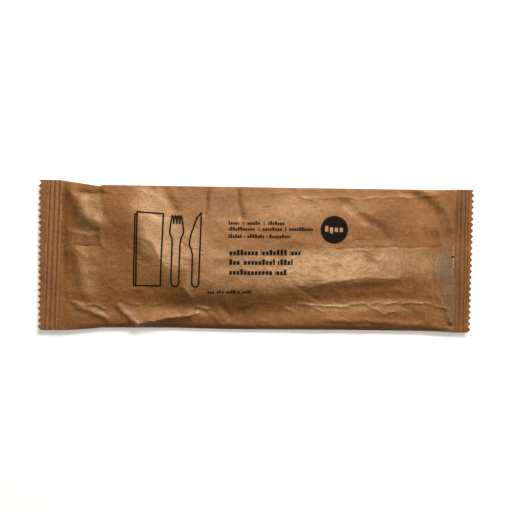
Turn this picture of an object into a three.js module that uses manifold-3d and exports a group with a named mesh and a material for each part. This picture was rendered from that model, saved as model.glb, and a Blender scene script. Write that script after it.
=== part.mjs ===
// A sealed kraft-paper flow-wrap pack that holds a wooden fork, a wooden knife and a folded napkin.
// It lies on its back, as one closed solid: the paper tube is filled right through.
// Millimetres. +X runs along the pack, +Y across it and +Z up through the printed front.
// The origin is the middle of the footprint, at the lowest point, which is the back seam's face.
import * as THREE from "three";
import { mergeVertices } from "three/addons/utils/BufferGeometryUtils.js";
import Module from "manifold-3d";

// Wrapper
const packLength = 218.5; // over the tips of the teeth
const flatWidth = 73.5; // the paper tube pressed flat, as it is at both end seals
const filledWidth = 71.2; // the tube is narrower where the contents lift it
const packHeight = 9; // back seam to the highest point of the front
const foldHeight = 2.7; // mid-height of the side folds and of the end seals
const plyPair = 0.3; // two plies of coated paper, sealed together

// Contents, which set where the front is lifted
const contentsLength = 165; // the cutlery and the folded napkin
const contentsShift = 7; // the contents have slid towards the +X end

// Cut ends
const teethPerEnd = 24.5;
const toothPitch = flatWidth / teethPerEnd;
const toothDepth = 1.35;

// End seals: a plain margin, then crimp waves across the whole width
const crimpPitch = 2.25;
const crimpAmplitude = 0.35;
const crimpSamples = 4; // stations to one wave
const leftSeal = { margin: 4.7, waves: 3 };
const rightSeal = { margin: 3, waves: 2.5 };
const sealLength = (seal) => seal.margin + seal.waves * crimpPitch;

// Back seam: the tube's two edges, sealed face to face and folded flat towards -Y
const seamWidth = 10;
const seamRoot = 3.5; // where it leaves the back, on the +Y side of the middle
const seamThickness = 0.3;
const seamStep = 0.15; // run-out of each long edge of the seam

// Section: the front falls away to the side folds in one round sweep, and the back lies flat
// across its middle before it curls up to them
const frontRoundness = 3.2;
const backFlatWidth = 55;

const halfLength = packLength / 2;
const halfFlat = flatWidth / 2;
const halfBackFlat = backFlatWidth / 2;
const seamTip = seamRoot - seamWidth;
const leftInner = -halfLength + sealLength(leftSeal);
const rightInner = halfLength - sealLength(rightSeal);
const leftContents = contentsShift - contentsLength / 2;
const rightContents = contentsShift + contentsLength / 2;

// Rises from 0 at the end seals to 1 over the contents.
function lift(x) {
  const fromLeft = (x - leftInner) / (leftContents - leftInner);
  const fromRight = (rightInner - x) / (rightInner - rightContents);
  return THREE.MathUtils.smoothstep(Math.min(fromLeft, fromRight), 0, 1);
}

// Height of the crimp wave: both plies of a seal go up and down together.
function crimpWave(x) {
  const seal = x < 0 ? leftSeal : rightSeal;
  const inward = halfLength - Math.abs(x) - seal.margin;
  if (inward <= 0 || inward >= seal.waves * crimpPitch) return 0;
  return -crimpAmplitude * Math.sin((2 * Math.PI * inward) / crimpPitch);
}

// Distances from a tip to each station of one end: the margin, then every sample of the waves.
function sealStations(seal) {
  const samples = seal.waves * crimpSamples;
  const waves = Array.from(
    { length: samples + 1 },
    (_, i) => seal.margin + (i * crimpPitch) / crimpSamples,
  );
  return [0, seal.margin / 2, ...waves];
}

// Inner stations between two places, both left out.
function between(start, end, steps) {
  return Array.from(
    { length: steps - 1 },
    (_, i) => start + ((i + 1) * (end - start)) / steps,
  );
}

const shoulderSteps = 8;
const filledSteps = 10;
const stationsAlong = [
  ...sealStations(leftSeal).map((d) => -halfLength + d),
  ...between(leftInner, leftContents, shoulderSteps),
  leftContents,
  ...between(leftContents, rightContents, filledSteps),
  rightContents,
  ...between(rightContents, rightInner, shoulderSteps),
  ...sealStations(rightSeal)
    .map((d) => halfLength - d)
    .reverse(),
];

// Stations across, on the flat tube. The seam's edges are among them on both faces.
const stationsAcross = [
  ...[-halfFlat, -36, -34, -31, -halfBackFlat, -22, -15],
  ...[seamTip - seamStep, seamTip, seamRoot, seamRoot + seamStep],
  ...[9, 15, 22, halfBackFlat, 31, 34, 36, halfFlat],
];

// The tube draws in where it's lifted, most at its folds, so that the seam stays straight.
function drawnIn(across, x) {
  const share = Math.pow(Math.abs(across) / halfFlat, 3);
  return across - (Math.sign(across) * share * (flatWidth - filledWidth) * lift(x)) / 2;
}

function frontHeight(x, across) {
  const rise = packHeight - foldHeight - plyPair / 2;
  const section = 1 - Math.pow(Math.abs(across) / halfFlat, frontRoundness);
  return foldHeight + plyPair / 2 + crimpWave(x) + rise * lift(x) * section;
}

function backHeight(x, across) {
  const drop = foldHeight - plyPair / 2 - seamThickness;
  const curl = Math.max(0, Math.abs(across) - halfBackFlat) / (halfFlat - halfBackFlat);
  const section = 1 - curl * curl;
  const onSeam = across >= seamTip && across <= seamRoot;
  const bare = foldHeight - plyPair / 2 + crimpWave(x) - drop * lift(x) * section;
  return onSeam ? bare - seamThickness : bare;
}

// A box with a vertex at every station, each moved to its place on the front or the back.
function paperTube() {
  const along = stationsAlong.length - 1;
  const across = stationsAcross.length - 1;
  const geometry = new THREE.BoxGeometry(1, 1, 1, along, across, 1);
  const place = geometry.getAttribute("position");
  for (let i = 0; i < place.count; i++) {
    const x = stationsAlong[Math.round((place.getX(i) + 0.5) * along)];
    const y = stationsAcross[Math.round((place.getY(i) + 0.5) * across)];
    const z = place.getZ(i) > 0 ? frontHeight(x, y) : backHeight(x, y);
    place.setXYZ(i, x, drawnIn(y, x), z);
  }
  return geometry;
}

// The pack's outline from above, with both ends cut to teeth. Its sides stand clear of the tube.
function toothedOutline() {
  const clear = 1;
  const steps = 2 * teethPerEnd;
  const step = toothPitch / 2;
  const outline = new THREE.Shape();
  outline.moveTo(-halfLength, -halfFlat - clear);
  outline.lineTo(halfLength, -halfFlat - clear);
  for (let i = 0; i <= steps; i++) {
    const inset = i % 2 ? 0 : toothDepth;
    outline.lineTo(halfLength - inset, -halfFlat + i * step);
  }
  outline.lineTo(halfLength, halfFlat + clear);
  outline.lineTo(-halfLength, halfFlat + clear);
  for (let i = 0; i <= steps; i++) {
    const inset = i % 2 ? toothDepth : 0;
    outline.lineTo(-halfLength + inset, halfFlat - i * step);
  }
  return outline;
}

function toothedBlock() {
  const depth = 3 * packHeight;
  const block = new THREE.ExtrudeGeometry(toothedOutline(), { depth, bevelEnabled: false });
  return block.translate(0, 0, -packHeight);
}

const wasm = await Module();
wasm.setup();

function solidOf(geometry) {
  const bare = geometry.clone();
  bare.deleteAttribute("normal");
  bare.deleteAttribute("uv");
  const merged = mergeVertices(bare, 1e-4);
  return new wasm.Manifold(
    new wasm.Mesh({
      numProp: 3,
      vertProperties: merged.getAttribute("position").array,
      triVerts: new Uint32Array(merged.index.array),
    }),
  );
}

function geometryOf(solid) {
  const mesh = solid.getMesh();
  const geometry = new THREE.BufferGeometry();
  geometry.setAttribute("position", new THREE.BufferAttribute(mesh.vertProperties, 3));
  geometry.setIndex(new THREE.BufferAttribute(mesh.triVerts, 1));
  geometry.computeVertexNormals();
  return geometry;
}

const kraftPaper = new THREE.MeshStandardMaterial({
  color: 0x9a6a41,
  roughness: 0.55,
  metalness: 0,
});

const cutleryPack = new THREE.Mesh(
  geometryOf(solidOf(paperTube()).intersect(solidOf(toothedBlock()))),
  kraftPaper,
);
cutleryPack.name = "cutlery_pack";

const pack = new THREE.Group();
pack.add(cutleryPack);

export default pack;
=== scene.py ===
import bpy
import math
import numpy as np
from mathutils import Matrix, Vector


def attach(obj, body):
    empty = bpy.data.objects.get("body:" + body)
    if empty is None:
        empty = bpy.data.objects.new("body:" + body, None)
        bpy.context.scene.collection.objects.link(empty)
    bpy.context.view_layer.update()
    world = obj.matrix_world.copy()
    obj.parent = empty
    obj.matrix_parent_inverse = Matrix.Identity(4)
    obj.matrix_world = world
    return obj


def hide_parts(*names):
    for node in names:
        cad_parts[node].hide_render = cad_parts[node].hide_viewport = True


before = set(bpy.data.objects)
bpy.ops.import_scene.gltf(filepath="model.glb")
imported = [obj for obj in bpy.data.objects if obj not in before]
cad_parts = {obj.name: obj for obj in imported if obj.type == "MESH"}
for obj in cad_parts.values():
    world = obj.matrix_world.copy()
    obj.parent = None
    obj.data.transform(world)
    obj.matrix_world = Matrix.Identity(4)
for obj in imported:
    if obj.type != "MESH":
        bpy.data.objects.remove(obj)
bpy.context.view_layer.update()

mm = 0.001

# camera
viewpoint = {
    "place": (-24.3, 11.5, 309.5),  # mm, almost straight above the pack
    "turn": (-1.941, -4.06, 0.879),  # degrees
    "lens": 43.26,
}
cameraData = bpy.data.cameras.new("camera")
cameraData.lens = viewpoint["lens"]
cameraData.clip_start = 0.01
camera = bpy.data.objects.new("camera", cameraData)
camera.location = [n * mm for n in viewpoint["place"]]
camera.rotation_mode = "ZYX"
camera.rotation_euler = [math.radians(n) for n in viewpoint["turn"]]
bpy.context.collection.objects.link(camera)
bpy.context.scene.camera = camera
print("camera placed")


# shader sums
class Wire:  # wraps a socket, so that sums on it can be written out
    def __init__(self, tree, socket):
        self.tree = tree
        self.socket = socket

    def node(self, kind, settings, values, output=0):
        made = self.tree.nodes.new(kind)
        for name, setting in settings.items():
            setattr(made, name, setting)
        for name, value in values.items():
            if isinstance(value, Wire):
                self.tree.links.new(value.socket, made.inputs[name])
            else:
                made.inputs[name].default_value = value
        return Wire(self.tree, made.outputs[output])

    def also(self, output):  # another output of the same node
        return Wire(self.tree, self.socket.node.outputs[output])

    def sums(self, operation, *values, clamp=False):
        settings = {"operation": operation, "use_clamp": clamp}
        return self.node("ShaderNodeMath", settings, dict(enumerate(values)))

    def vector(self, operation, *values, output=0):
        return self.node("ShaderNodeVectorMath", {"operation": operation}, dict(enumerate(values)), output)

    def __add__(self, other):
        return self.sums("ADD", self, other)

    def __sub__(self, other):
        return self.sums("SUBTRACT", self, other)

    def __rsub__(self, other):
        return self.sums("SUBTRACT", other, self)

    def __mul__(self, other):
        return self.sums("MULTIPLY", self, other)

    def __truediv__(self, other):
        return self.sums("DIVIDE", self, other)

    def __abs__(self):
        return self.sums("ABSOLUTE", self)

    __radd__ = __add__
    __rmul__ = __mul__

    def lower(self, other):
        return self.sums("MINIMUM", self, other)

    def higher(self, other):
        return self.sums("MAXIMUM", self, other)

    def pair(self, x, y):
        return self.node("ShaderNodeCombineXYZ", {}, {0: x, 1: y})

    def limited(self):
        return self.sums("ADD", self, 0.0, clamp=True)

    def mixed(self, first, second):  # first where this is 0, second where it is 1
        return self.node(
            "ShaderNodeMix", {"data_type": "RGBA"}, {0: self, 6: first, 7: second}, 2
        )


def noise(place, size, detail=2.0, roughness=0.5, warp=0.0):  # size of its patches, mm
    values = {"Vector": place, "Scale": 1 / size, "Detail": detail, "Roughness": roughness}
    values["Distortion"] = warp
    return place.node("ShaderNodeTexNoise", {}, values)


# the paper's shape
wrapper = {
    "halfLength": 109.25,
    "halfWidth": 36.75,
    "foldHeight": 2.1,  # of the end seals and the top fold, above the floor
    "lowFold": 1.0,  # of the bottom fold
    "foldRun": 20,  # how far in from the seals the bottom fold takes to come down
    "lowFrom": 10,  # place across where the paper starts down to it, and how far that takes
    "lowRun": 46,
    "droop": 0.2,  # of the tips, from a place along, and how far that takes
    "droopFrom": 94,
    "droopRun": 15,
    "ply": 0.15,
    "shut": 0.5,  # how far in from the side folds the two plies come together
    "tipShare": 0.15,  # how thick the very edge is, as a share of a ply
    "foldRows": (0.12, 0.5),  # rows of points beside each side fold, which is round
    "topRound": 0.55,  # how far in from each side fold the paper rolls over
    "lowRound": 2.2,
    "sealRun": 3,  # how far in from the seals the front starts to lift
    "easing": 12,  # passes that round the front off
    "creaseEdge": 1.6,  # how steeply a sharp crease falls away
    "backFlat": 27.5,  # the back is flat this far from the middle
    "backRuns": (22, 12),  # how far in from the left and right seals it takes to lie flat
    "seam": (-6.65, 3.65),  # edges of the back seam
    "seamThick": 0.3,
    "seamEdge": 0.3,
    "toothPitch": 3.0,
    "toothDepth": 1.35,
    "toothRun": 3.2,  # how far in from the ends the rows bend to the teeth
    "cells": (30, 262, 23, 147),  # left seal, body, right seal, across
    "seals": (-97.8, 100.6),  # inner edges of the two end seals
}

crimps = {
    "pitch": 2.3,
    "left": (-104.1, 3, 0.031, 0.24),  # first ridge, number of ridges, slant, height
    "right": (100.9, 3, -0.01, 0.38),
}

across = [36.75, 35.6, 34.4, 31, 26, 18, 10, 2, -6, -11, -14, -18.5, -23, -26, -29.5, -32.5, -35.2, -36.75]
sections = {  # height of the front over the fold line at each place across, mm
    -98: [0] * 18,
    -90: [0.6, 0.7, 0.9, 1.5, 2.0, 2.3, 2.4, 2.3, 2.0, 1.9, 1.7, 1.4, 1.1, 1.1, 1.2, 1.1, 0.8, 0.6],
    -80: [2.5, 2.6, 2.8, 3.7, 4.3, 4.2, 3.7, 3.4, 3.6, 3.4, 3.0, 2.3, 1.6, 1.5, 1.9, 1.9, 1.4, 1.1],
    -70: [3.3, 3.4, 3.6, 4.3, 5.0, 4.9, 4.3, 3.8, 3.7, 3.5, 3.1, 2.4, 1.4, 1.2, 1.7, 1.9, 1.4, 1.1],
    -58: [3.2, 3.3, 3.5, 4.1, 4.9, 6.1, 6.4, 5.8, 4.8, 4.2, 3.5, 2.4, 1.2, 0.9, 1.4, 1.7, 1.1, 0.8],
    -45: [3.3, 3.4, 3.6, 4.0, 4.4, 5.0, 5.3, 6.0, 6.3, 5.5, 4.7, 3.3, 1.3, 0.9, 1.7, 1.4, 0.9, 0.7],
    -30: [3.3, 3.4, 3.6, 4.0, 4.5, 4.9, 5.2, 5.6, 6.0, 6.1, 5.9, 5.0, 2.2, 0.9, 1.5, 1.1, 0.8, 0.7],
    -10: [3.3, 3.4, 3.6, 3.9, 4.4, 4.8, 5.1, 5.4, 5.9, 6.1, 6.0, 5.0, 2.7, 1.3, 1.0, 1.0, 0.8, 0.7],
    12: [3.3, 3.4, 3.5, 3.9, 4.5, 5.1, 5.1, 5.2, 6.0, 6.4, 6.2, 4.4, 2.2, 1.4, 1.6, 1.6, 1.2, 1.0],
    30: [3.3, 3.4, 3.5, 3.8, 4.4, 4.9, 4.9, 4.9, 5.8, 6.4, 5.8, 3.1, 2.0, 2.3, 2.4, 2.0, 1.5, 1.3],
    50: [3.3, 3.4, 3.5, 3.8, 4.3, 4.8, 4.7, 4.7, 5.7, 6.0, 4.4, 2.6, 2.1, 2.6, 2.5, 1.9, 1.5, 1.3],
    70: [3.6, 3.6, 3.65, 3.8, 4.1, 4.5, 4.5, 4.5, 5.3, 5.1, 3.9, 2.8, 2.4, 2.7, 2.4, 1.9, 1.5, 1.3],
    84: [3.7, 3.7, 3.7, 3.8, 3.9, 4.1, 4.1, 4.1, 4.6, 4.2, 3.5, 3.0, 2.7, 2.6, 2.2, 1.9, 1.5, 1.3],
    92: [2.5, 2.5, 2.55, 2.6, 2.7, 2.7, 2.7, 2.7, 2.7, 2.6, 2.4, 2.2, 2.0, 1.8, 1.6, 1.3, 1.0, 0.8],
    100.6: [0] * 18,
}

# Creases: points in mm, half width, height over or under the paper round them, and kind
creases = [
    # left shoulder
    ([(-90, 31.3), (-84, 30.9), (-79, 31.5)], 2.0, -1.5, "soft"),
    ([(-87, 31), (-83, 30.3), (-79, 31.3)], 0.7, 0.5, "sharp"),
    ([(-85, 28.8), (-81, 29.3), (-78, 30.3), (-75, 31.4)], 0.9, -0.5, "sharp"),
    ([(-91, 31), (-88.6, 26), (-84.6, 19), (-79.6, 15.2)], 3.7, 1.5, "soft"),
    ([(-95, 12), (-88, 10.5), (-80, 10)], 1.6, 0.4, "soft"),
    ([(-61.5, 32), (-60, 18), (-55.5, 8), (-48, -4)], 5, 0.6, "soft"),
    ([(-99, 3.8), (-96, 4), (-93, 5.4), (-86, 5), (-78, 4.8)], 0.9, -0.4, "sharp"),
    ([(-93, 5.6), (-90, 3.4), (-87, 1)], 1.0, 0.4, "sharp"),
    ([(-78.4, 12), (-79, 8), (-77.6, 4.8)], 0.9, 0.6, "sharp"),
    ([(-92, 2), (-89, -4), (-87, -12), (-86, -18)], 3.6, 0.9, "soft"),
    # low valley and the lit folds under it, left half
    ([(-92, -23.2), (-87.5, -24.4), (-80.7, -24.8), (-77, -26.2)], 1.0, 0.55, "sharp"),
    ([(-90, -25), (-82, -28), (-75.5, -31.5)], 1.6, 0.75, "soft"),
    ([(-79, -27), (-74.5, -31.5)], 1.0, -0.4, "soft"),
    ([(-70, -25.5), (-65.5, -29.5), (-61, -34.4)], 1.6, 0.9, "soft"),
    ([(-60.8, -34.6), (-54.5, -32.8), (-47.2, -31.3), (-40, -30.2), (-31.5, -28.4)], 2.0, 1.4, "sharp"),
    ([(-64, -24), (-60, -24.4)], 0.6, 0.3, "sharp"),
    ([(-54, -24.6), (-49, -23.4)], 0.6, 0.3, "sharp"),
    ([(-31, -25.2), (-28, -25.6), (-24.6, -25.8)], 1.3, 0.65, "sharp"),
    ([(-27, -26), (-23.4, -29.6), (-19, -34.4)], 1.2, 0.45, "sharp"),
    ([(-20.3, -22.5), (-18.3, -26.2), (-15.2, -30.3)], 1.6, -0.6, "soft"),
    ([(-12.4, -23.6), (-6.5, -24)], 0.6, 0.26, "sharp"),
    ([(-4.5, -22.8), (0.4, -22.2), (9, -23.2)], 0.6, 0.25, "sharp"),
    # lower right
    ([(11, -23.9), (14, -25.4), (17.6, -27)], 0.7, 0.4, "sharp"),
    ([(19.4, -23), (25.5, -24.3), (28.6, -25.3), (32.3, -27)], 0.7, 0.4, "sharp"),
    ([(22, -22.8), (29.5, -23.5), (34.6, -24.2), (44.7, -23.9), (45.7, -22.8), (52.8, -22.3), (56, -24),
      (63, -27.7), (65, -27), (69, -26.6)], 0.8, 0.5, "sharp"),
    ([(56.4, -22.5), (60, -21.7), (62.5, -23), (66, -22.2), (70, -21.6), (71.8, -22.6), (74.3, -21.8),
      (84.6, -21.7), (91.2, -23.8), (97, -24.7)], 0.8, 0.45, "sharp"),
    ([(70.2, -22), (73.5, -24.4), (78, -26.5)], 1.2, -0.3, "sharp"),
    ([(35, -31), (55.6, -31.5), (82, -33.4)], 1.4, 0.4, "soft"),
    ([(14, -11.8), (21.6, -16.2), (28.3, -20.2)], 1.6, -0.6, "sharp"),
    ([(13, -12), (19, -13.6), (26.5, -13.6), (34, -11.2), (41.5, -10), (54, -8.6), (69, -8.9)],
     1.8, 0.4, "sharp"),
    ([(22, -15), (34, -15), (49, -13.8), (64, -12.6), (76, -10.5)], 2.0, -0.4, "soft"),
    ([(97.6, -33.6), (101, -35)], 1.3, -1.2, "soft"),
    # middle and top
    ([(-35, -5), (-35, -9.9), (-34.5, -14)], 1.2, -0.3, "soft"),
    ([(-38.2, -14.5), (-35.8, -18), (-33.8, -20.6)], 1.1, 0.7, "sharp"),
    ([(-27.6, 35), (-28.2, 28), (-28.5, 22)], 1.5, -0.65, "soft"),
    ([(-48.5, 35), (-47, 30), (-44, 24)], 2.2, -0.5, "soft"),
    ([(-26.4, 34.4), (-26, 30)], 0.8, 0.3, "sharp"),
    ([(-12.4, 34), (-12.2, 27.6), (-10.7, 21)], 1.6, -0.75, "soft"),
    ([(-74, 31.7), (-65, 31.9), (-50, 30.4), (-36, 30.1), (-23.5, 30.9), (-11, 32.2), (14, 33.6)],
     0.6, 0.16, "sharp"),
    ([(18.7, 31.4), (27.7, 30.6), (39, 31.6), (42, 32), (49, 30.6), (57, 31.8), (70, 32), (85.4, 32.7),
      (91, 34.2)], 0.7, 0.3, "sharp"),
    ([(23, 30.5), (26.7, 29.5), (29, 27.6), (29, 25)], 0.7, 0.3, "sharp"),
    ([(41.3, 28.3), (51, 20), (58.7, 16), (62.8, 11.2)], 2.2, -0.6, "soft"),
    ([(44, 12), (49.6, 8.5)], 1.1, -0.25, "sharp"),
    ([(52, 24.5), (57, 21), (60.5, 20.2)], 0.7, 0.25, "sharp"),
    ([(47.2, 5), (48.8, 1), (47.9, -2.4)], 0.9, -0.2, "soft"),
    ([(65, 5.3), (66, -0.7)], 0.9, -0.15, "soft"),
    ([(-59, 33.6), (-52, 29.7), (-47.5, 26), (-46, 20.5)], 2.2, 0.3, "soft"),
    ([(-54.4, 8.2), (-49.5, -0.4), (-46.1, -4.7)], 1.6, 0.35, "sharp"),
    ([(38, 5.6), (48, 6.2), (60, 6.5), (88, 6.8)], 1.1, -0.28, "sharp"),
    # right shoulder
    ([(68.7, 35.8), (77.6, 32.8)], 1.5, -0.35, "soft"),
    ([(79, 35.6), (85, 33.4), (93, 26), (96, 17.5)], 2.8, 1.25, "soft"),
    ([(86, 23.2), (89.4, 14.7), (92, 7.7), (89, -2), (89.2, -14.5), (93, -22.3), (98.6, -31.6)],
     1.3, 0.6, "sharp"),
]

drawIn = {  # how far each side fold stands in from the flat ends' line, mm, at places along
    "top": ([-98.4, -80.2, -79.4, -78.6, 91, 100], [0, 2.4, 2.6, 1.85, 0.45, 0]),
    "bottom": (
        [-98.8, -92, -86, -78, -45, -15, 40, 90, 97, 101.5],
        [0, 0.2, 0.5, 1.2, 1.4, 0.8, 0.8, 0.5, 0.4, 0],
    ),
}

crumple = {
    "sizes": (17, 8, 4),
    "heights": (0.45, 0.3, 0.1),
    "seed": 7,
    "lean": 0.4,
    "wander": 0.5,  # how far the creases stray from their lines, and over what distance
    "wanderSize": 3.5,
    "lattice": (90, 90),  # random values, from a corner well outside the pack
    "corner": (-140, -60),
}


def stationsAlong():
    left, body, right, _ = wrapper["cells"]
    inner, outer = wrapper["seals"]
    half = wrapper["halfLength"]
    first = np.linspace(-half, inner, left + 1)
    middle = np.linspace(inner, outer, body + 1)
    last = np.linspace(outer, half, right + 1)
    return np.concatenate([first, middle[1:], last[1:]])


def stationsAcross():
    half = wrapper["halfWidth"]
    places = np.linspace(-half, half, wrapper["cells"][3] + 1)
    for row, inward in enumerate(wrapper["foldRows"], 1):
        places[row] = -half + inward
        places[-1 - row] = half - inward
    return places


def toSegments(x, y, points):  # distance from every place to a line through the points
    nearest = np.full(x.shape, 1e9)
    for (ax, ay), (bx, by) in zip(points, points[1:]):
        run, rise = bx - ax, by - ay
        share = ((x - ax) * run + (y - ay) * rise) / (run * run + rise * rise)
        share = np.clip(share, 0, 1)
        nearest = np.minimum(nearest, np.hypot(x - ax - share * run, y - ay - share * rise))
    return nearest


def smooth(t):
    t = np.clip(t, 0, 1)
    return t * t * (3 - 2 * t)


def eased(surface, times):  # rounds the paper off along and across
    for _ in range(times):
        surface[1:-1] = (surface[:-2] + 2 * surface[1:-1] + surface[2:]) / 4
        surface[:, 1:-1] = (surface[:, :-2] + 2 * surface[:, 1:-1] + surface[:, 2:]) / 4
    return surface


def crimpWave(x, y):
    wave = np.zeros(x.shape)
    for start, ridges, slant, height in (crimps["left"], crimps["right"]):
        along = (x - start - slant * y) / crimps["pitch"]
        here = (along > -0.5) & (along < ridges - 0.5)
        wave += np.where(here, height * np.cos(2 * math.pi * along), 0)
    return wave


def patches(x, y, size, seed):  # smooth random ups and downs from -1 to 1
    lattice = np.random.default_rng(seed).uniform(-1, 1, crumple["lattice"])
    cornerX, cornerY = crumple["corner"]
    i, j = (x - cornerX) / size, (y - cornerY) / size
    a, b = np.floor(i).astype(int), np.floor(j).astype(int)
    s, t = smooth(i - a), smooth(j - b)
    near = lattice[a, b] * (1 - t) + lattice[a, b + 1] * t
    far = lattice[a + 1, b] * (1 - t) + lattice[a + 1, b + 1] * t
    return near * (1 - s) + far * s


def betweenSeals(x, leftRun, rightRun):  # 0 on the seals, 1 that far in from them
    left, right = wrapper["seals"]
    return smooth((x - left) / leftRun) * smooth((right - x) / rightRun)


def frontRelief(x, y):
    places = sorted(sections)
    table = np.array([np.interp(y[0], across[::-1], sections[p][::-1]) for p in places])
    relief = np.empty(x.shape)
    for j in range(x.shape[1]):
        relief[:, j] = np.interp(x[:, 0], places, table[:, j])
    relief = eased(relief, wrapper["easing"])
    seed = crumple["seed"]
    for size, height in zip(crumple["sizes"], crumple["heights"]):
        folds = 0.5 - np.abs(patches(x + crumple["lean"] * y, y, size, seed))  # folds, not hills
        relief += height * folds
        seed += 1
    bentX = x + crumple["wander"] * patches(x, y, crumple["wanderSize"], seed)
    bentY = y + crumple["wander"] * patches(x, y, crumple["wanderSize"], seed + 1)
    for points, width, height, kind in creases:
        reach = toSegments(bentX, bentY, points) / width
        fall = reach * reach if kind == "soft" else wrapper["creaseEdge"] * reach
        relief += height * np.exp(-fall)
    inside = betweenSeals(x, wrapper["sealRun"], wrapper["sealRun"])
    rounds = np.where(y > 0, wrapper["topRound"], wrapper["lowRound"])
    edges = np.clip((wrapper["halfWidth"] - np.abs(y)) / rounds, 0, 1)
    return relief * inside * np.sqrt(edges)


def foldLine(x, y):  # height of the fold plane: the bottom fold and the tips lie lower
    high = wrapper["foldHeight"]
    body = betweenSeals(x, wrapper["foldRun"], wrapper["foldRun"])
    low = smooth((wrapper["lowFrom"] - y) / wrapper["lowRun"])
    droop = wrapper["droop"] * smooth((np.abs(x) - wrapper["droopFrom"]) / wrapper["droopRun"])
    return high - (high - wrapper["lowFold"]) * body * low - droop


def backHeight(x, y, bare):  # lies flat in its middle, with the seam under it
    flat = wrapper["backFlat"]
    curl = np.clip((np.abs(y) - flat) / (wrapper["halfWidth"] - flat), 0, 1)
    body = betweenSeals(x, *wrapper["backRuns"])
    depth = (bare - wrapper["seamThick"]) * body * (1 - curl * curl)
    surface = bare - depth
    low, high = wrapper["seam"]
    onSeam = smooth((y - low) / wrapper["seamEdge"]) * smooth((high - y) / wrapper["seamEdge"])
    return surface - wrapper["seamThick"] * onSeam


def drawnIn(x, y):  # the filled tube is narrower than its flat ends
    top = np.interp(x, *drawIn["top"])
    bottom = np.interp(x, *drawIn["bottom"])
    share = np.abs(y / wrapper["halfWidth"]) ** 3
    return y - share * np.where(y > 0, top, -bottom)


def toothShift(x, y):  # moves the last rows in between the teeth
    half = wrapper["halfLength"]
    phase = (y + wrapper["halfWidth"]) / wrapper["toothPitch"] % 1
    ramp = np.abs(2 * phase - 1)  # 1 at a multiple of the pitch from the bottom
    fade = np.clip(1 - (half - np.abs(x)) / wrapper["toothRun"], 0, 1)
    return -np.sign(x) * wrapper["toothDepth"] * ramp * fade


def makeWrapper():
    along, side = stationsAlong(), stationsAcross()
    rows, columns = len(along) - 1, len(side) - 1
    bpy.ops.object.select_all(action="DESELECT")
    bpy.ops.mesh.primitive_grid_add(x_subdivisions=rows, y_subdivisions=columns, size=2)
    paper = bpy.context.object
    paper.name = "paper_pack"
    bpy.ops.object.mode_set(mode="EDIT")
    bpy.ops.mesh.select_all(action="SELECT")
    bpy.ops.mesh.extrude_region_move(TRANSFORM_OT_translate={"value": (0, 0, -1)})
    bpy.ops.mesh.select_all(action="SELECT")
    bpy.ops.mesh.normals_make_consistent(inside=False)
    bpy.ops.object.mode_set(mode="OBJECT")
    mesh = paper.data
    flat = np.empty(len(mesh.vertices) * 3)
    mesh.vertices.foreach_get("co", flat)
    flat = flat.reshape(-1, 3)
    print("paper:", len(mesh.vertices), "points,", len(mesh.polygons), "faces")

    x, y = np.meshgrid(along, side, indexing="ij")
    half = wrapper["ply"] + 0 * x
    shut = np.clip((wrapper["halfWidth"] - np.abs(y)) / wrapper["shut"], 0, 1)
    tip = wrapper["tipShare"]
    half *= np.sqrt(1 - (1 - shut) ** 2) * (1 - tip) + tip
    fold = foldLine(x, y) + crimpWave(x, y)
    back = backHeight(x, y, fold - half)
    front = np.maximum(fold + half + frontRelief(x, y), back + half)
    xs = x + toothShift(x, y)
    ys = drawnIn(x, y)

    i = np.rint((flat[:, 0] + 1) / 2 * rows).astype(int)
    j = np.rint((flat[:, 1] + 1) / 2 * columns).astype(int)
    isFront = flat[:, 2] > -0.5
    placed = np.empty_like(flat)
    placed[:, 0] = xs[i, j]
    placed[:, 1] = ys[i, j]
    placed[:, 2] = np.where(isFront, front[i, j], back[i, j])
    under = np.zeros(len(mesh.polygons), int)
    for face in mesh.polygons:
        under[face.index] = face.normal.z < -0.5
    mesh.vertices.foreach_set("co", (placed * mm).ravel())
    mesh.update()
    return paper, under, isFront


paper, under, isFront = makeWrapper()

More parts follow.
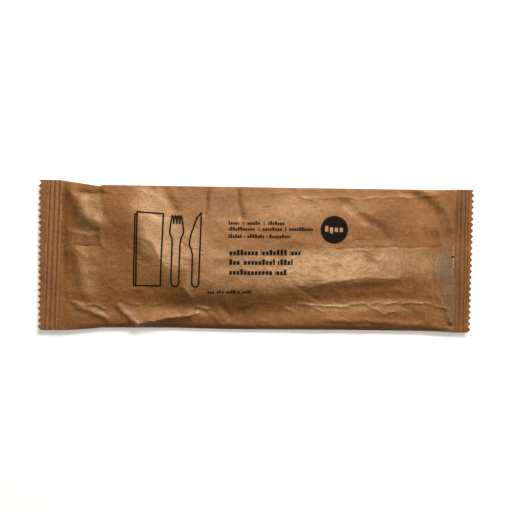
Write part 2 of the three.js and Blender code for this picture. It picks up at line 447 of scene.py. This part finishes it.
# print
# All in mm on the front. Words become bars, so nothing on the pack can be read.
ink = {
    "colour": (0.006, 0.0033, 0.0014, 1),
    "lineHalf": 0.42,
    "napkin": [(-60.8, 21.8), (-48.3, 21.1), (-49.5, -14.2), (-61.5, -14.2), (-60.8, 21.8)],
    "napkinPly": [(-60.9, 20.9), (-61.8, 20.7), (-62.6, -14.0), (-61.5, -14.2)],
    "fork": [(-44.3, -12.4), (-43.9, 6.5), (-44.0, 9.0), (-45.1, 11.6), (-45.1, 13.5), (-44.3, 19.4),
             (-43.9, 20.3), (-43.5, 19.6), (-43.3, 16.6), (-42.8, 19.6), (-42.4, 20.3), (-42.1, 19.6),
             (-41.8, 16.6), (-41.5, 19.6), (-41.1, 20.3), (-40.7, 19.6), (-40.4, 16.6), (-40.1, 19.6),
             (-39.7, 20.3), (-39.4, 19.5), (-38.5, 13.6), (-38.5, 11.8), (-39.7, 9.2), (-40.1, 6.5),
             (-40.5, -12.4), (-41.0, -13.9), (-42.4, -14.5), (-43.8, -13.9), (-44.3, -12.4)],
    "knife": [(-30.1, 21.9), (-30.0, 20.5), (-30.8, -12.6), (-31.1, -13.9), (-32.4, -14.5), (-33.8, -13.9),
              (-34.2, -12.6), (-34.0, 1.3), (-34.7, 4.2), (-35.6, 6.2), (-35.4, 8.5), (-34.7, 11.9),
              (-33.5, 15.4), (-32.1, 19.3), (-30.1, 21.9)],
    "rows": [  # height of the row at x 0, its rise, how tall its marks are, and where its words are
        (17.5, 0.011, 1.9, [(-16.6, -11.6), (-9.7, -9.1), (-7.7, -1.1), (0.7, 1.3), (2.9, 10.9)]),
        (14.6, 0.014, 1.9, [(-16.6, -3.7), (-1.9, -1.3), (0.2, 9.6), (11.2, 11.8), (13.3, 25.1)]),
        (11.0, 0.013, 1.9, [(-16.6, -10.0), (-9.0, -8.4), (-7.6, 1.0), (2.0, 2.6), (3.2, 14.1)]),
        (3.0, 0.014, 2.8, [(-16.1, -1.8), (-0.6, 12.7), (13.7, 19.2)]),
        (-1.7, 0.012, 2.8, [(-16.2, -10.6), (-9.3, 6.6), (7.9, 15.4)]),
        (-6.7, 0.007, 2.8, [(-16.1, 5.2), (6.5, 12.3)]),
        (-16.5, 0.009, 1.8, [(-26.7, -23.0), (-22.2, -19.9), (-19.4, -18.2), (-17.4, -12.5), (-11.8, -10.1),
                             (-9.6, -4.9)]),
    ],
    "blockWide": 0.64,  # share of a row's height
    "blockGap": 0.1,
    "blockTall": 0.7,  # share of a row's height, and how far below its middle
    "blockDrop": 0.15,
    "tallFrom": 0.65,  # blocks whose chance is over this are taller, by this share
    "tallExtra": 0.3,
    "disc": (35.95, 14.85, 6.95),
    "discBlocks": [
        (31.3, 32.9, 15.3, 2.9), (33.7, 35.3, 14.6, 2.9), (36.2, 37.8, 14.9, 2.1), (38.7, 40.3, 14.9, 2.1),
    ],
    "marks": [(97.7, 99.4, 2.2, 0.9), (107.4, 108.3, 2.3, 0.8)],
    "dashes": (98.6, 99.3, 2.1, 11.4),  # pale, beside the right end seal
    "dashPitch": 1.9,
    "dashHalf": 0.6,
    "edge": 5,  # how sharp the edges of the print are
    "dullness": 0.4,  # added to the paper's roughness
    "pale": (0.3, 0.17, 0.08, 1),
}


def lineGap(place, points):  # distance from a line through the points
    nearest = None
    for start, end in zip(points, points[1:]):
        run = (end[0] - start[0], end[1] - start[1], 0)
        size = run[0] ** 2 + run[1] ** 2
        offset = place.vector("SUBTRACT", place, (*start, 0))
        dot = place.vector("DOT_PRODUCT", offset, run, output=1)
        share = place.sums("DIVIDE", dot, size, clamp=True)
        foot = place.node("ShaderNodeVectorMath", {"operation": "SCALE"}, {0: run, "Scale": share})
        gap = place.vector("DISTANCE", offset, foot, output=1)
        nearest = gap if nearest is None else nearest.lower(gap)
    return nearest


def barGap(x, y, left, right, middle, tall):  # below 0 inside a bar
    sideways = abs(x - (left + right) / 2) - (right - left) / 2
    upright = abs(y - middle) - tall * 0.5
    return sideways.higher(upright)


def inkMask(place, x, y):  # 1 where the front is printed dark
    half = ink["lineHalf"]
    gap = lineGap(place, ink["napkin"]) - half
    for name in ("napkinPly", "fork", "knife"):
        gap = gap.lower(lineGap(place, ink[name]) - half)
    for number, (level, rise, tall, words) in enumerate(ink["rows"]):
        wide = tall * ink["blockWide"]
        up = y - x * rise - level
        column = x / wide  # one block for each mark of a word
        cell = column.sums("FLOOR", column)
        chance = cell.node(
            "ShaderNodeTexWhiteNoise", {"noise_dimensions": "2D"}, {"Vector": cell.pair(cell, number)}
        )
        extra = chance.sums("GREATER_THAN", chance, ink["tallFrom"]) * (ink["tallExtra"] * tall)
        beside = abs(column - cell - 0.5) * wide - wide * (0.5 - ink["blockGap"])
        above = abs(up + ink["blockDrop"] * tall - extra / 2) - (extra + ink["blockTall"] * tall) / 2
        within = None
        for left, right in words:
            reach = abs(x - (left + right) / 2) - (right - left) / 2
            within = reach if within is None else within.lower(reach)
        gap = gap.lower(within.higher(beside).higher(above))
    middleX, middleY, radius = ink["disc"]
    disc = place.vector("DISTANCE", place, (middleX, middleY, 0), output=1) - radius
    for left, right, middle, tall in ink["discBlocks"]:
        disc = disc.higher(0 - barGap(x, y, left, right, middle, tall))
    gap = gap.lower(disc)
    for left, right, middle, tall in ink["marks"]:
        gap = gap.lower(barGap(x, y, left, right, middle, tall))
    return (0.5 - gap * ink["edge"]).limited()


def dashMask(x, y):  # the short pale column
    step = y / ink["dashPitch"]
    beside = abs(step - step.sums("FLOOR", step) - 0.5) * ink["dashPitch"] - ink["dashHalf"]
    return (0.5 - barGap(x, y, *ink["dashes"]).higher(beside) * ink["edge"]).limited()


# kraft paper
kraft = {
    "light": (0.272, 0.117, 0.036, 1),
    "dark": (0.111, 0.040, 0.009, 1),
    "clouds": (14, 3, 0.5),  # size in mm, detail and roughness of each pattern
    "mottle": (1.8, 4, 0.6),
    "grain": (0.55, 2, 0.6),
    "toneShares": (0.7, 0.9, 1.3),  # how much clouds, mottle and grain change the tone
    "roughnessShares": (0.5, 0.3),  # and grain and mottle the roughness
    "crinkle": (6, 3, 0.5, 0.6),  # and its warp
    "crinkleStretch": (0.6, 1, 1),
    "crinkleDepth": 9,
    "crushed": (16, 1),  # size and detail of the places where the paper is crinkled
    "crushedFrom": 0.42,
    "crushedEdge": 5,
    "bumpShares": (0.9, 0.8),  # how much grain and mottle raise the paper
    "bumpDistance": 0.00012,
    "roughness": 0.5,
    "rubbedRoughness": -0.12,  # added where what is inside has polished the paper
    "sheen": 0.04,
    "rubbedSheen": 0.22,
    "glaze": 0.3,  # machine glaze, all over the paper
    "rubbedGlaze": 0.35,
    "shine": 0.1,
    "glazeRoughness": 0.42,
    "paintedHighlightTone": (1.36, 1.84, 2.8),  # painted highlight: how much lighter and greyer the paper is painted there
    "sealTone": (0.86, 0.88, 0.94),  # of the end seals
    "polishAndHighlight": [  # polished places, also painted lighter as painted highlights: centre, reach and strength of each, mm
        (-55, 25, 12, 9, 0.8), (-53, 16, 11, 17, 1.05), (-45, 6, 10, 15, 1.2),
        (-46, 3, 6, 13, 1.5), (-34, 6, 10, 14, 0.75), (-22, 20, 20, 12, 0.25),
        (-20, -6, 20, 14, 0.6), (18, 25, 22, 7, 0.6), (0, 23, 16, 8, 0.25), (44, 26, 14, 6, 0.35),
        (3, -4, 22, 10, 0.9), (20, -5, 14, 11, 1.2), (38, -3, 22, 10, 1.25), (46, -1, 10, 8, 1.5),
        (64, -1, 38, 10, 0.9), (-83.5, 22, 6, 11, 1.3), (-84, -26, 10, 4, 0.5),
        (-66, -28, 7, 5, 0.4), (-46, -27, 18, 4, 0.15), (-29, -26.6, 5, 3, 0.9),
        (38, -24, 26, 4, 0.6), (66, -22, 26, 4, 0.5), (-84, -6, 6, 15, 0.6), (-86, 10, 9, 5, 0.5),
        (0, -13, 20, 6, 0.5), (-35, -14, 4, 9, 0.8), (-54, -6, 10, 10, 0.25),
        (-86, 9.5, 9, 4, 0.6), (36, 14.9, 6, 3, 1.2),
    ],
    "polishAndHighlightSpecks": (0.8, 3, 0.7),  # patterns that break the polished and painted highlight places up, and how much
    "specksShare": 2.4,
    "polishAndHighlightSpots": (7, 3, 0.6),
    "spotsShare": 1.8,
    "polishAndHighlightBase": 0.9,
    "paintedCoolReflection": [  # painted cool reflection on the end slope at the right
        (90.5, 10, 3, 15, 0.45), (95, -6, 7.5, 15, 1.1), (98.5, -20, 5.5, 17, 1.1),
    ],
    "paintedCoolReflectionTone": (0.66, 0.78, 1.15),
    "paintedShade": [  # painted shade: darker places under the folds and along the edges
        (-24, 28, 20, 7, 0.4), (-72, 12, 8, 13, 0.4), (64, 20, 15, 14, 0.25), (8, 7, 14, 4, 0.3),
        (-8, -28, 20, 6, 0.5), (75, -29, 13, 6, 0.45), (-80, -29, 20, 6, 0.37),
        (-44, -33.8, 17, 3.6, 1.0), (47, 9, 14, 3, 0.25), (-30, -36.2, 55, 4.8, 0.95),
        (45, -36.4, 60, 4.8, 0.95), (90, 22, 9, 14, 0.35), (98, 22, 8, 14, 0.6),
        (-20, 35, 60, 3, 0.3), (40, 36, 60, 3, 0.25), (-73, -24, 12, 3, 0.4),
        (-95.5, 26, 3.5, 6, 0.3), (-92.5, 19.5, 4, 5, 0.5), (-87.5, 15.2, 5, 3, 0.5),
        (-81.5, 13.4, 4, 2.4, 0.42), (93, 31, 11, 7, 0.55),
    ],
    "paintedShadeTone": (0.5, 0.46, 0.38),
    "fleck": 0.45,  # how dark the flecks of bark are
    "fleckPattern": (1.1, 1),
    "fleckFrom": 0.76,
    "fleckEdge": 25,
    "sealMiddle": 1.5,  # between the two end seals, how far off they start, and their soft edge
    "sealFrom": 98.5,
    "sealEdge": 2,
    "spotFade": 0.8,
}


def spotShare(x, y, spots):  # strongest in the middle of each oval, 0 outside them
    share = np.zeros(x.shape)
    for middleX, middleY, reachX, reachY, strength in spots:
        near = ((x - middleX) / reachX) ** 2 + ((y - middleY) / reachY) ** 2
        share = np.maximum(share, np.clip(1 - kraft["spotFade"] * near, 0, 1) * strength)
    return share


def paintPolishAndLight(mesh):  # polished places with painted highlight, painted shade and painted cool reflection, on the front only
    flat = np.empty(len(mesh.vertices) * 3)
    mesh.vertices.foreach_get("co", flat)
    x, y, _ = flat.reshape(-1, 3).T / mm
    paint = np.ones((len(mesh.vertices), 4))
    for channel, name in enumerate(("polishAndHighlight", "paintedShade", "paintedCoolReflection")):
        paint[:, channel] = spotShare(x, y, kraft[name]) * isFront
    polishAndPaintedLight = mesh.color_attributes.new("polishAndPaintedLight", "FLOAT_COLOR", "POINT")
    polishAndPaintedLight.data.foreach_set("color", paint.ravel())


def polishAndHighlightMask(place, zones):  # the polished places with their painted highlights, broken up
    specks = (noise(place, *kraft["polishAndHighlightSpecks"]) - 0.5) * kraft["specksShare"]
    spots = (noise(place, *kraft["polishAndHighlightSpots"]) - 0.5) * kraft["spotsShare"]
    return (zones * (specks + spots + kraft["polishAndHighlightBase"])).limited()


def makeKraft(name, printed):
    material = bpy.data.materials.new(name)
    material.use_nodes = True
    tree = material.node_tree
    shader = next(n for n in tree.nodes if n.type == "BSDF_PRINCIPLED")
    start = tree.nodes.new("ShaderNodeTexCoord")
    place = Wire(tree, start.outputs["Object"])
    place = place.vector("MULTIPLY", place, (1000, 1000, 1000))  # now in mm
    flatPlace = place.vector("MULTIPLY", place, (1, 1, 0))
    clouds = noise(place, *kraft["clouds"]) - 0.5
    mottle = noise(place, *kraft["mottle"]) - 0.5
    grain = noise(place, *kraft["grain"]) - 0.5
    # channels: polished places with painted highlight, painted shade, painted cool reflection
    polishAndPaintedLight = place.node("ShaderNodeAttribute", {"attribute_name": "polishAndPaintedLight"}, {})
    polishAndPaintedLight = place.node("ShaderNodeSeparateColor", {}, {0: polishAndPaintedLight})
    polishAndHighlight = polishAndHighlightMask(place, polishAndPaintedLight)
    paintedShade = polishAndPaintedLight.also(1).limited()
    paintedCoolReflection = polishAndPaintedLight.also(2).limited()
    byClouds, byMottle, byGrain = kraft["toneShares"]
    tone = (clouds * byClouds + mottle * byMottle + grain * byGrain + 0.5).limited()
    colour = tone.mixed(kraft["dark"], kraft["light"])
    # painted highlight: the paper's colour is made lighter and greyer in the polished places
    colour = polishAndHighlight.mixed(colour, colour.vector("MULTIPLY", colour, kraft["paintedHighlightTone"]))
    byGrain, byMottle = kraft["roughnessShares"]
    roughness = kraft["roughness"] + grain * byGrain + mottle * byMottle
    roughness = roughness + polishAndHighlight * kraft["rubbedRoughness"]
    sheen = kraft["sheen"] + polishAndHighlight * kraft["rubbedSheen"]
    # painted cool reflection: the colour is made greyer and bluer on the right end slope
    colour = paintedCoolReflection.mixed(colour, colour.vector("MULTIPLY", colour, kraft["paintedCoolReflectionTone"]))
    # painted shade: the colour is darkened in the shaded places
    colour = paintedShade.mixed(colour, colour.vector("MULTIPLY", colour, kraft["paintedShadeTone"]))
    flecks = noise(place, *kraft["fleckPattern"]) - kraft["fleckFrom"]
    flecks = (flecks * kraft["fleckEdge"]).limited() * kraft["fleck"]
    colour = flecks.mixed(colour, kraft["dark"])
    glaze = kraft["glaze"] + polishAndHighlight * kraft["rubbedGlaze"]
    x = place.node("ShaderNodeSeparateXYZ", {}, {0: place})
    y = x.also(1)
    sealed = ((abs(x - kraft["sealMiddle"]) - kraft["sealFrom"]) / kraft["sealEdge"]).limited()
    colour = sealed.mixed(colour, colour.vector("MULTIPLY", colour, kraft["sealTone"]))
    if printed:
        colour = dashMask(x, y).mixed(colour, ink["pale"])
        mask = inkMask(flatPlace, x, y)
        colour = mask.mixed(colour, ink["colour"])
        sheen = sheen * (1 - mask)
        glaze = glaze * (1 - mask)
        roughness = roughness + mask * ink["dullness"]
    stretched = place.vector("MULTIPLY", place, kraft["crinkleStretch"])
    crinkle = abs(noise(stretched, *kraft["crinkle"]) - 0.5)
    crushed = noise(place, *kraft["crushed"]) - kraft["crushedFrom"]
    crushed = (crushed * kraft["crushedEdge"]).limited()
    byGrain, byMottle = kraft["bumpShares"]
    height = grain * byGrain + mottle * byMottle - crinkle * crushed * kraft["crinkleDepth"]
    relief = {"Strength": 1.0, "Distance": kraft["bumpDistance"], "Height": height}
    bump = place.node("ShaderNodeBump", {}, relief)
    tree.links.new(colour.socket, shader.inputs["Base Color"])
    tree.links.new(roughness.socket, shader.inputs["Roughness"])
    tree.links.new(sheen.socket, shader.inputs["Metallic"])
    tree.links.new(bump.socket, shader.inputs["Normal"])
    tree.links.new(glaze.socket, shader.inputs["Coat Weight"])
    shader.inputs["Coat Roughness"].default_value = kraft["glazeRoughness"]
    shader.inputs["Specular IOR Level"].default_value = kraft["shine"]
    return material


paintPolishAndLight(paper.data)
paper.data.materials.append(makeKraft("printedKraft", True))
paper.data.materials.append(makeKraft("plainKraft", False))
paper.data.polygons.foreach_set("material_index", under)
paper.data.update()
bpy.ops.object.select_all(action="DESELECT")
paper.select_set(True)
bpy.context.view_layer.objects.active = paper
bpy.ops.object.shade_smooth_by_angle(angle=math.radians(40))  # keeps the cut edges sharp
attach(paper, "root")
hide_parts("cutlery_pack")
print("paper shaped and printed")

# floor and light
studio = {
    "floor": (0.95, 0.95, 0.95, 1),
    "floorRoughness": 0.9,
    "floorSize": 6,
    "key": {"place": (0.22, 0.63, 0.38), "size": (0.6, 0.3), "power": 13.6, "colour": (1, 0.98, 0.94)},
    "top": {"place": (0.03, 0.12, 0.62), "size": (0.4, 0.16), "power": 2.0, "colour": (1, 0.92, 0.78)},
    "side": {"place": (0.7, -0.05, 0.20), "size": (0.4, 0.25), "power": 0.8, "colour": (0.75, 0.87, 1)},
    "sky": 0.12,
    "skyColour": (0.93, 0.96, 1.0, 1),
}
bpy.ops.object.select_all(action="DESELECT")
bpy.ops.mesh.primitive_plane_add(size=studio["floorSize"])
floor = bpy.context.object
floor.name = "floor"
floorPaint = bpy.data.materials.new("palePaint")
floorPaint.use_nodes = True
floorShader = next(n for n in floorPaint.node_tree.nodes if n.type == "BSDF_PRINCIPLED")
floorShader.inputs["Base Color"].default_value = studio["floor"]
floorShader.inputs["Roughness"].default_value = studio["floorRoughness"]
floor.data.materials.append(floorPaint)

for name in ("key", "top", "side"):
    lamp = studio[name]
    bpy.ops.object.light_add(type="AREA", location=lamp["place"])
    light = bpy.context.object
    light.name = name
    light.data.shape = "RECTANGLE"
    light.data.size, light.data.size_y = lamp["size"]
    light.data.energy = lamp["power"]
    light.data.color = lamp["colour"]
    aim = Vector((0, 0, 0)) - light.location
    light.rotation_euler = aim.to_track_quat("-Z", "Y").to_euler()

sky = bpy.data.worlds.new("sky")
sky.use_nodes = True
background = next(n for n in sky.node_tree.nodes if n.type == "BACKGROUND")
background.inputs["Color"].default_value = studio["skyColour"]
background.inputs["Strength"].default_value = studio["sky"]
bpy.context.scene.world = sky
bpy.context.scene.view_settings.view_transform = "Standard"
print("floor and light ready")
